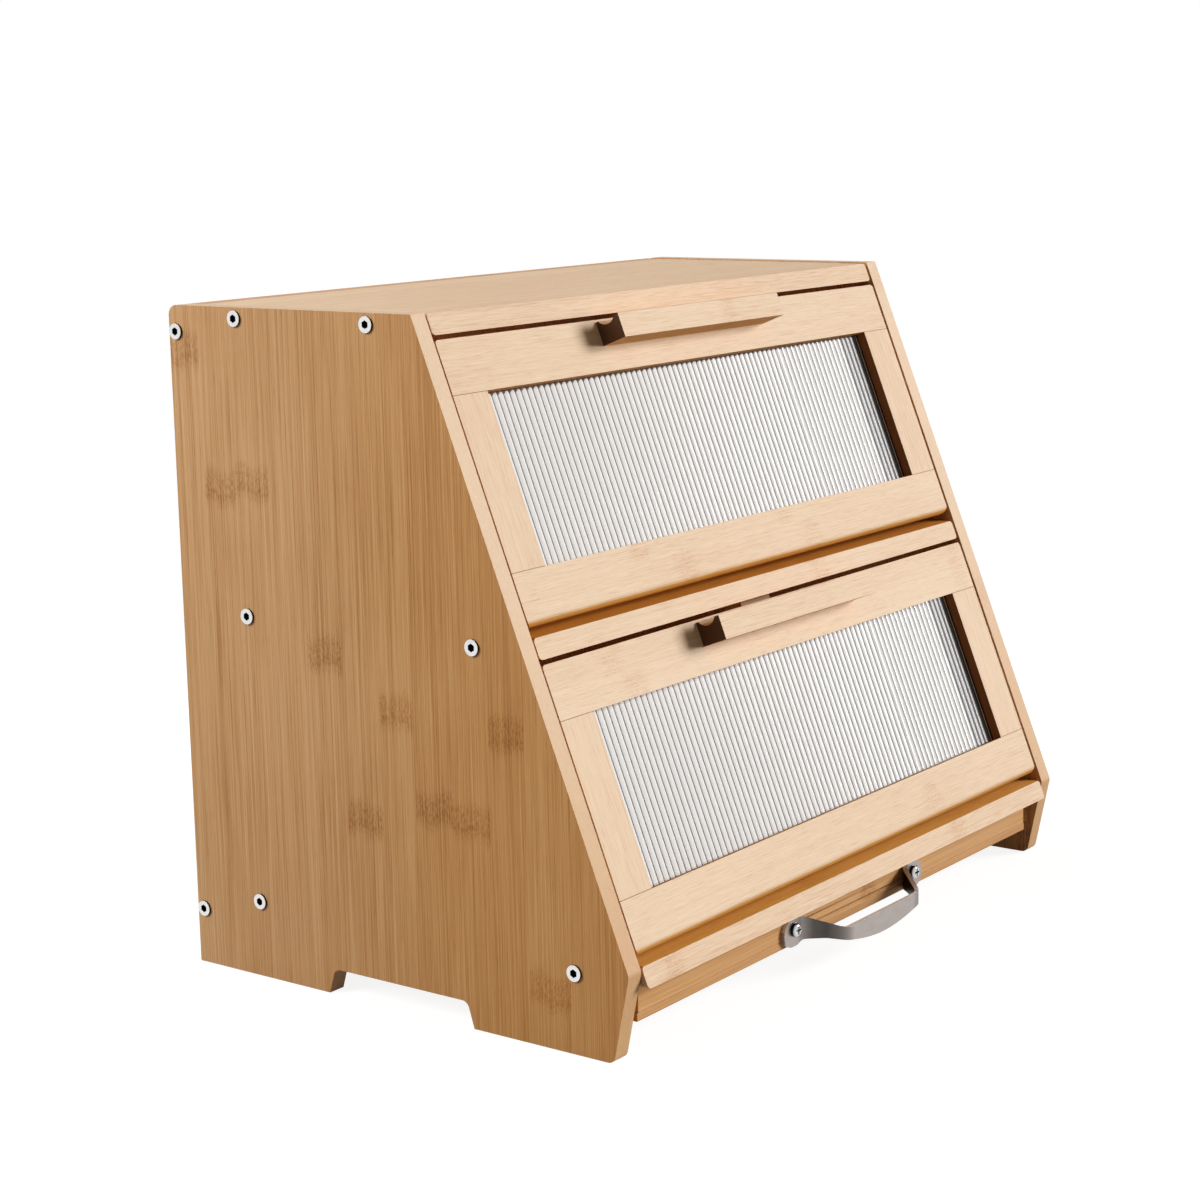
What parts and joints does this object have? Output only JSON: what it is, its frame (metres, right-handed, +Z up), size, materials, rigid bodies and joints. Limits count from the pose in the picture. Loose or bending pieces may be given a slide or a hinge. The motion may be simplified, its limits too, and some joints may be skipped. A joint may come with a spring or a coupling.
{
  "type": "bread box with drawer",
  "caption": "Two-bay bamboo bread box with a leaning front, drop-down ribbed-window doors and a shallow drawer with a steel pull.",
  "frame": {"origin": "on the ground, under the middle of the box's outside size, pull and bolt heads included", "axes": "+X along the width to the right, seen from the front; the front faces -Y; +Z up"},
  "size_m": [0.4024, 0.2754, 0.326],
  "materials": {
    "side_bamboo": "satin clear lacquer on upright-grained bamboo",
    "front_bamboo": "satin clear lacquer on bamboo, grain along the width",
    "drawer_bamboo": "satin bamboo",
    "ribbed_acrylic": "clear, ribbed on the outer face",
    "plated_fasteners": "bright zinc plate",
    "plated_magnet": "nickel plate",
    "plain_steel": "satin zinc plate",
    "brushed_pull": "brushed along its length"
  },
  "bodies": {
    "case": {"left_side_panel": "side_bamboo", "right_side_panel": "side_bamboo", "top_board": "front_bamboo", "middle_shelf": "front_bamboo", "bottom_shelf": "front_bamboo", "back_panel": "front_bamboo", "left_case_bolts": "plated_fasteners", "right_case_bolts": "plated_fasteners", "left_drawer_guide": "drawer_bamboo", "right_drawer_guide": "drawer_bamboo", "left_drawer_ledge": "drawer_bamboo", "right_drawer_ledge": "drawer_bamboo", "upper_catch_block": "front_bamboo", "lower_catch_block": "front_bamboo", "upper_catch_magnet": "plated_magnet", "lower_catch_magnet": "plated_magnet"},
    "upper_door": {"upper_door_top_rail": "front_bamboo", "upper_door_bottom_rail": "front_bamboo", "upper_door_left_stile": "front_bamboo", "upper_door_right_stile": "front_bamboo", "upper_door_pane": "ribbed_acrylic", "upper_door_handle": "front_bamboo", "upper_door_handle_screws": "plated_fasteners", "upper_door_strike_plate": "plain_steel", "upper_door_strike_screws": "plated_fasteners", "upper_door_pivot_pins": "plain_steel"},
    "lower_door": {"lower_door_top_rail": "front_bamboo", "lower_door_bottom_rail": "front_bamboo", "lower_door_left_stile": "front_bamboo", "lower_door_right_stile": "front_bamboo", "lower_door_pane": "ribbed_acrylic", "lower_door_handle": "front_bamboo", "lower_door_handle_screws": "plated_fasteners", "lower_door_strike_plate": "plain_steel", "lower_door_strike_screws": "plated_fasteners", "lower_door_pivot_pins": "plain_steel"},
    "drawer": {"drawer_front": "drawer_bamboo", "drawer_left_side": "drawer_bamboo", "drawer_right_side": "drawer_bamboo", "drawer_back": "drawer_bamboo", "drawer_bottom": "drawer_bamboo", "drawer_pull": "brushed_pull", "drawer_pull_screws": "plated_fasteners"}
  },
  "joints": [
    {"name": "upper_door_hinge", "type": "hinge", "parent": "case", "child": "upper_door", "pos_m": [0, -0.06119, 0.19193], "axis": [1, 0, 0], "range_deg": [0, 110]},
    {"name": "lower_door_hinge", "type": "hinge", "parent": "case", "child": "lower_door", "pos_m": [0, -0.11732, 0.05063], "axis": [1, 0, 0], "range_deg": [0, 110]},
    {"name": "drawer_slide", "type": "slide", "parent": "case", "child": "drawer", "axis": [0, -1, 0], "range_m": [0, 0.2]}
  ]
}
